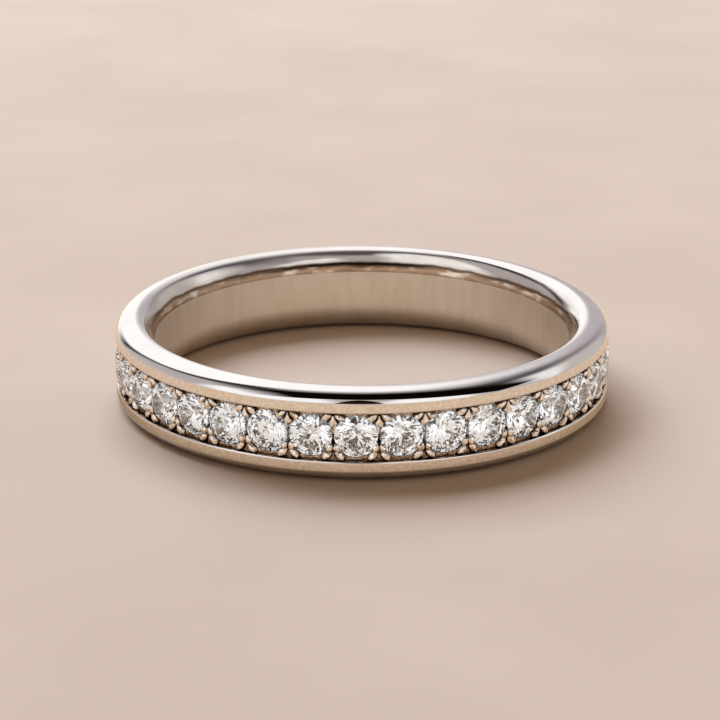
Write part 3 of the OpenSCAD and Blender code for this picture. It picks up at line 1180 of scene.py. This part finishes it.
# %% [markdown]
# The rails and the bore mirror the ground beside the ring, which lies in the ring's own shade.
# A sheet laid round and inside the ring brightens it for them as a painted reflection: it glows
# by itself, so that its brightness can be matched at each distance. It leaves a dark gap close
# to the metal, and its tone is painted darker near the band as the ring's shade.

# %% Glowing sheet on the ground
GLOWING_SHEET_R = 60 * MM
GLOWING_SHEET_UP = 0.02 * MM
# From the middle of the ring to a bore's width away from it; the darker tones near the band are painted
# shade
GLOWING_SHEET_TONES = ((0.0, "f6e0ca"), (0.46, "d4b8a0"), (0.62, "a4886a"), (0.72, "dabea6"), (1.0, "f0d6bc"))
# Inside the ring it ends between these two shares of the bore's radius, and outside it starts
# over this distance from the band
INSIDE_ENDS = (0.72, 0.97)
OUTSIDE_STARTS = 0.4 * MM
start_clean()
bpy.ops.mesh.primitive_circle_add(
    vertices=96, radius=GLOWING_SHEET_R, fill_type="NGON", location=(0, 0, GLOWING_SHEET_UP)
)
glowing_sheet = bpy.context.object
glowing_sheet.name = "glowing_sheet"
apply_place(glowing_sheet)
glow_material, tree, place = new_material("champagne glowing sheet")
out = add_node(tree, "ShaderNodeVectorMath", {0: place}, operation="LENGTH").outputs["Value"]
share = add_node(tree, "ShaderNodeMapRange", {"Value": out, "From Max": 2 * bore_r})
tone = add_node(tree, "ShaderNodeValToRGB", {"Fac": share}, stops=GLOWING_SHEET_TONES)
lit = add_node(tree, "ShaderNodeEmission", {"Color": tone, "Strength": 1.0})
clear = add_node(tree, "ShaderNodeBsdfTransparent")
solid_to, gone_at = (part * bore_r for part in INSIDE_ENDS)
inside = {"Value": out, "From Min": solid_to, "From Max": gone_at, "To Min": 1.0, "To Max": 0.0}
inner = add_node(tree, "ShaderNodeMapRange", inside)
outside = {"Value": out, "From Min": outer_r, "From Max": outer_r + OUTSIDE_STARTS}
outer = add_node(tree, "ShaderNodeMapRange", outside)
laid = add_node(tree, "ShaderNodeMath", {0: inner, 1: outer}, operation="ADD")
both = add_node(tree, "ShaderNodeMixShader", {0: laid, 1: clear, 2: lit})
add_node(tree, "ShaderNodeOutputMaterial", {"Surface": both})
seen_only_by(glowing_sheet, "glossy", glow_material)
print("glowing_sheet", [round(x / MM) for x in glowing_sheet.dimensions], "mm")

# %% [markdown]
# A small black card stands in front of the ring, as photographers place one to draw a dark
# accent into a polished edge. It slants so that the far rim sees it edge on, and only the
# nearest rim mirrors it. Its outline is half an ellipse as the near rim sees it: each point of
# a circle becomes a way out from the near rim, and is followed to the slanted plane.

# %% Black card
# Half its width, the height it starts at and its own height, as slopes seen from the near rim,
# and the slope of its plane
CARD_WIDE = 0.277
CARD_FROM, CARD_TALL = 0.55, 0.80
CARD_SLANT = 0.25
near_rim = Vector((0.14 * MM, -outer_r + 0.3 * MM, band_w - 0.2 * MM))
far_rim_y = outer_r - 1.1 * MM
start_clean()
bpy.ops.mesh.primitive_circle_add(vertices=48, radius=1, fill_type="NGON")
card = bpy.context.object
card.name = "black_card"
for point in card.data.vertices:
    rise = CARD_FROM + CARD_TALL * max(point.co.y, 0)
    ahead = CARD_SLANT * (far_rim_y - near_rim.y) / (rise - CARD_SLANT)
    point.co = near_rim + Vector((CARD_WIDE * ahead * point.co.x, -ahead, rise * ahead))
NAP_MM = 0.5
felt, tree, place = new_material("black felt")
nap = add_node(tree, "ShaderNodeTexNoise", {"Vector": place, "Scale": 1 / (NAP_MM * MM), "Detail": 2.0})
nap_tone = add_node(tree, "ShaderNodeValToRGB", {"Fac": nap}, stops=((0.3, "1a1512"), (0.7, "2c241e")))
soft_black = add_node(tree, "ShaderNodeBsdfDiffuse", {"Color": nap_tone})
add_node(tree, "ShaderNodeOutputMaterial", {"Surface": soft_black})
seen_only_by(card, "glossy", felt)
print("card", [round(x / MM, 1) for x in card.dimensions], "mm")

# %% [markdown]
# The camera's dark lens shows in the nearest stones too, as the black flashes near their
# middle. A dark disc in front of them stands for it, and only the light inside stones meets it.

# %% Dark lens
LENS_R = 3.0 * MM
LENS_AWAY = 10 * MM
start_clean()
bpy.ops.mesh.primitive_circle_add(vertices=48, radius=LENS_R, fill_type="NGON")
lens = bpy.context.object
lens.name = "dark_lens"
lens.rotation_euler = away.to_track_quat("Z", "Y").to_euler()
lens.location = Vector((0, -outer_r, mid_z)) + away * LENS_AWAY
apply_place(lens)
seen_only_by(lens, "transmission", felt)
print("lens", round(2 * LENS_R / MM, 1), "mm wide,", round(LENS_AWAY / MM, 1), "mm from the nearest stone")

# %% [markdown]
# One soft area light stands for the main softbox on the back left. It gives the pale floor
# its brightness and the ring its soft shadow towards the front. The metal doesn't mirror it,
# because the room for the metal has its own softbox.

# %% Key light
KEY_DISTANCE = 0.6
KEY_SIZE = (0.55, 0.45)
KEY_WATTS = 5.1
key_from = Vector((-0.28, 0.60, 0.72)).normalized()
start_clean()
bpy.ops.object.light_add(type="AREA", location=key_from * KEY_DISTANCE)
key = bpy.context.object
key.name = "softbox"
key.rotation_euler = (-key_from).to_track_quat("-Z", "Y").to_euler()
key.data.shape = "RECTANGLE"
key.data.size, key.data.size_y = KEY_SIZE
key.data.energy = KEY_WATTS
key.data.color = colour("eaf2ff")[:3]
key.visible_glossy = False
print("softbox at", [round(x, 2) for x in key.location], "m")

# %% [markdown]
# The Standard view keeps the whites of the polish pure, as in the photograph. Light bounces
# many times inside a cut stone before it comes out, so the limits on bounces are raised.

# %% Film
scene = bpy.context.scene
scene.view_settings.view_transform = "Standard"
scene.view_settings.exposure = 0.0
scene.cycles.max_bounces = 24
scene.cycles.glossy_bounces = 12
scene.cycles.transmission_bounces = 24
scene.cycles.diffuse_bounces = 4
print(scene.view_settings.view_transform, "view, up to", scene.cycles.max_bounces, "bounces")

# %% Finish
low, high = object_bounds()
print("dressed ring", [round(x / MM, 3) for x in high - low], "mm")
